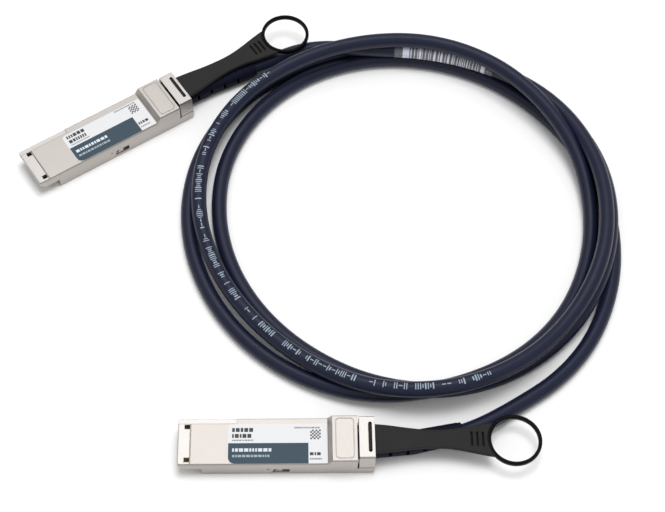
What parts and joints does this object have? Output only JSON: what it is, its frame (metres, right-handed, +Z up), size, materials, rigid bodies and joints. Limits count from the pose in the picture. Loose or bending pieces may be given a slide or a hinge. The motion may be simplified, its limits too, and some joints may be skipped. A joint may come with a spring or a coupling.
{
  "type": "direct attach copper cable",
  "caption": "Loosely coiled copper network cable with a die-cast plug, strain relief boot, pull tab and finger ring at each end.",
  "frame": {"origin": "centre of the near plug's seat on its underside, on the surface that everything lies on", "axes": "+X from the near plug's nose to its cable, +Z up from the surface, +Y towards the coil"},
  "size_m": [0.2436, 0.2097, 0.0183],
  "materials": {
    "shell_metal": "satin nickel plated zinc die-casting",
    "card": "green solder mask",
    "gold_contacts": "gold plated",
    "pair_insulation": "foil wrapped pairs",
    "ferrule_metal": "plain",
    "screw_steel": "zinc plated",
    "spring_steel": "bright drawn",
    "tab_plastic": "fine matte moulding, glossier ring",
    "label_sheet": "satin printed sheet",
    "boot_rubber": "satin",
    "cable_jacket": "satin dark navy jacket"
  },
  "bodies": {
    "cable_and_shells": {"near_lower_shell": "shell_metal", "near_upper_shell": "shell_metal", "near_paddle_card": "card", "near_edge_contacts": "gold_contacts", "near_twinax_pairs": "pair_insulation", "near_crimp_ferrule": "ferrule_metal", "near_shell_screws": "screw_steel", "near_return_springs": "spring_steel", "near_label": "label_sheet", "near_strain_relief": "boot_rubber", "near_lead": "cable_jacket", "far_lower_shell": "shell_metal", "far_upper_shell": "shell_metal", "far_paddle_card": "card", "far_edge_contacts": "gold_contacts", "far_twinax_pairs": "pair_insulation", "far_crimp_ferrule": "ferrule_metal", "far_shell_screws": "screw_steel", "far_return_springs": "spring_steel", "far_label": "label_sheet", "far_strain_relief": "boot_rubber", "far_lead": "cable_jacket", "cable_coil": "cable_jacket"},
    "near_latch": {"near_latch_slider": "shell_metal", "near_pull_tab": "tab_plastic"},
    "far_latch": {"far_latch_slider": "shell_metal", "far_pull_tab": "tab_plastic"}
  },
  "joints": [
    {"name": "near_latch_pull", "type": "slide", "parent": "cable_and_shells", "child": "near_latch", "axis": [1, 0, 0], "range_m": [0, 0.0025], "stiffness_N_per_m": 600, "deforming": ["near_return_springs"]},
    {"name": "far_latch_pull", "type": "slide", "parent": "cable_and_shells", "child": "far_latch", "axis": [0.8374, 0.5465, 0], "range_m": [0, 0.0025], "stiffness_N_per_m": 600, "deforming": ["far_return_springs"]}
  ]
}
